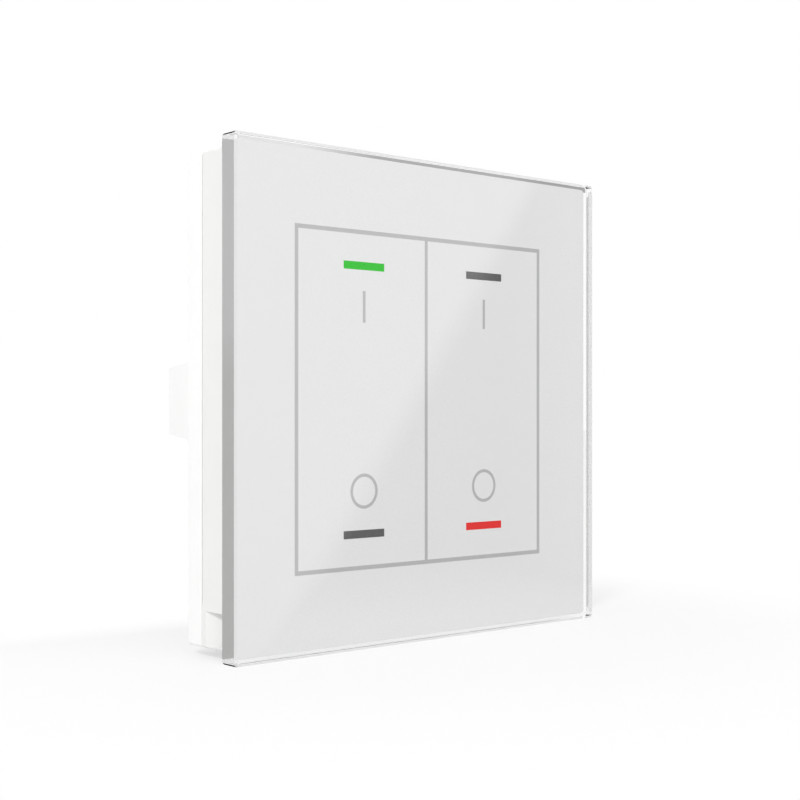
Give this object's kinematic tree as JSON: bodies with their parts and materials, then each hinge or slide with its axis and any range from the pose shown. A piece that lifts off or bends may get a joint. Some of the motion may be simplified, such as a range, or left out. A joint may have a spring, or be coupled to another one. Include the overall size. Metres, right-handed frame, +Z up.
{
  "type": "touch light switch",
  "caption": "Square glass-fronted wall switch with touch zones, on and off marks and lit bars, over a white housing and an in-wall relay box with screw terminals.",
  "frame": {"origin": "centre of the rear base's back face, midway between the wall fixing slots", "axes": "+X to the right seen from the room, +Y into the wall, +Z up"},
  "size_m": [0.086, 0.0487, 0.086],
  "materials": {
    "clear_glass": "polished 4 mm pane with ground and polished edges",
    "white_ink": "screen-printed enamel, seen through the glass",
    "grey_ink": "screen-printed line",
    "green_window": "translucent diffusing ink, lit",
    "red_window": "translucent diffusing ink, lit",
    "smoke_window": "translucent diffusing ink, unlit",
    "adhesive": "double-sided bonding film",
    "white_moulding": "fine satin moulded polycarbonate",
    "white_box_moulding": "satin moulded polyamide",
    "clear_moulding": "clear acrylic",
    "spring_steel": "bright spring strip",
    "plated_steel": "zinc plated",
    "soft_iron": "nickel plated soft iron",
    "circuit_board": "green solder mask on glass laminate",
    "chip_black": "moulded epoxy",
    "ceramic_part": "fired ceramic chip",
    "conductive_foam": "conductive foam",
    "led_body": "moulded lamp body",
    "black_moulding": "moulded black polyamide",
    "relay_blue": "moulded relay case",
    "copper_winding": "enamelled copper wire",
    "contact_copper": "copper alloy strip with silver contacts",
    "tinned_copper": "tin-plated copper",
    "brass_part": "turned and plated brass",
    "film_yellow": "moulded capacitor box",
    "can_sleeve": "sleeved aluminium can",
    "varistor_blue": "dipped epoxy",
    "fuse_body": "ceramic tube with end caps",
    "grey_moulding": "moulded grey polyamide"
  },
  "bodies": {
    "switch_base": {"front_housing": "white_moulding", "panel_spring_clips": "spring_steel", "green_light_guide": "clear_moulding", "red_light_guide": "clear_moulding", "unlit_light_guides": "clear_moulding", "touch_board": "circuit_board", "touch_board_screws": "plated_steel", "sensing_pads": "conductive_foam", "indicator_leds": "led_body", "touch_controller_chip": "chip_black", "touch_board_capacitors": "ceramic_part", "board_socket": "black_moulding", "pin_strip_body": "black_moulding", "pin_strip_pins": "brass_part", "rear_base": "white_moulding", "fixing_slot_plates": "plated_steel", "housing_screws": "plated_steel", "in_wall_box": "white_box_moulding", "in_wall_box_screws": "plated_steel", "power_board": "circuit_board", "power_board_screws": "plated_steel", "film_capacitor": "film_yellow", "storage_capacitor": "can_sleeve", "bridge_rectifier": "chip_black", "line_fuse": "fuse_body", "surge_varistor": "varistor_blue", "supply_regulator": "chip_black", "terminal_block": "grey_moulding", "terminal_bars": "tinned_copper", "relay_bases": "black_moulding", "relay_cases": "relay_blue", "relay_yokes": "soft_iron", "relay_cores": "soft_iron", "relay_bobbins": "black_moulding", "relay_windings": "copper_winding", "relay_fixed_contacts": "contact_copper"},
    "glass_panel": {"glass_pane": "clear_glass", "white_back_print": "white_ink", "grey_line_print": "grey_ink", "green_indicator_window": "green_window", "red_indicator_window": "red_window", "unlit_indicator_windows": "smoke_window", "bonding_sheet": "adhesive", "panel_carrier": "white_moulding"},
    "left_relay_arm": {"left_relay_armature": "soft_iron", "left_relay_contact_strip": "contact_copper"},
    "right_relay_arm": {"right_relay_armature": "soft_iron", "right_relay_contact_strip": "contact_copper"},
    "neutral_screw": {"neutral_clamp_screw": "plated_steel"},
    "neutral_cage": {"neutral_clamp_cage": "plated_steel"},
    "live_screw": {"live_clamp_screw": "plated_steel"},
    "live_cage": {"live_clamp_cage": "plated_steel"},
    "first_load_screw": {"first_load_clamp_screw": "plated_steel"},
    "first_load_cage": {"first_load_clamp_cage": "plated_steel"},
    "second_load_screw": {"second_load_clamp_screw": "plated_steel"},
    "second_load_cage": {"second_load_clamp_cage": "plated_steel"}
  },
  "joints": [
    {"name": "panel_pull_off", "type": "slide", "parent": "switch_base", "child": "glass_panel", "axis": [0, -1, 0], "range_m": [0, 0.02]},
    {"name": "left_relay_pull_in", "type": "hinge", "parent": "switch_base", "child": "left_relay_arm", "pos_m": [-0.0111, 0.0171, 0.0133], "axis": [0, 0, 1], "range_deg": [0, 4.5], "stiffness_Nm_per_rad": 0.02, "springref_deg": -2.86},
    {"name": "right_relay_pull_in", "type": "hinge", "parent": "switch_base", "child": "right_relay_arm", "pos_m": [0.0121, 0.0171, 0.0133], "axis": [0, 0, 1], "range_deg": [0, 4.5], "stiffness_Nm_per_rad": 0.02, "springref_deg": -2.86},
    {"name": "neutral_cage_rise", "type": "slide", "parent": "switch_base", "child": "neutral_cage", "axis": [0, 0, -1], "range_m": [0, 0.0018]},
    {"name": "neutral_screw_turn", "type": "hinge", "parent": "switch_base", "child": "neutral_screw", "pos_m": [-0.01575, 0.0272, 0], "axis": [0, 0, 1], "range_deg": [0, 1296]},
    {"name": "live_cage_rise", "type": "slide", "parent": "switch_base", "child": "live_cage", "axis": [0, 0, -1], "range_m": [0, 0.0018]},
    {"name": "live_screw_turn", "type": "hinge", "parent": "switch_base", "child": "live_screw", "pos_m": [-0.00525, 0.0272, 0], "axis": [0, 0, 1], "range_deg": [0, 1296]},
    {"name": "first_load_cage_rise", "type": "slide", "parent": "switch_base", "child": "first_load_cage", "axis": [0, 0, -1], "range_m": [0, 0.0018]},
    {"name": "first_load_screw_turn", "type": "hinge", "parent": "switch_base", "child": "first_load_screw", "pos_m": [0.00525, 0.0272, 0], "axis": [0, 0, 1], "range_deg": [0, 1296]},
    {"name": "second_load_cage_rise", "type": "slide", "parent": "switch_base", "child": "second_load_cage", "axis": [0, 0, -1], "range_m": [0, 0.0018]},
    {"name": "second_load_screw_turn", "type": "hinge", "parent": "switch_base", "child": "second_load_screw", "pos_m": [0.01575, 0.0272, 0], "axis": [0, 0, 1], "range_deg": [0, 1296]}
  ],
  "couplings": [
    {"joint": "neutral_screw_turn", "follows": "neutral_cage_rise", "rad_per_m": 12566},
    {"joint": "live_screw_turn", "follows": "live_cage_rise", "rad_per_m": 12566},
    {"joint": "first_load_screw_turn", "follows": "first_load_cage_rise", "rad_per_m": 12566},
    {"joint": "second_load_screw_turn", "follows": "second_load_cage_rise", "rad_per_m": 12566}
  ]
}
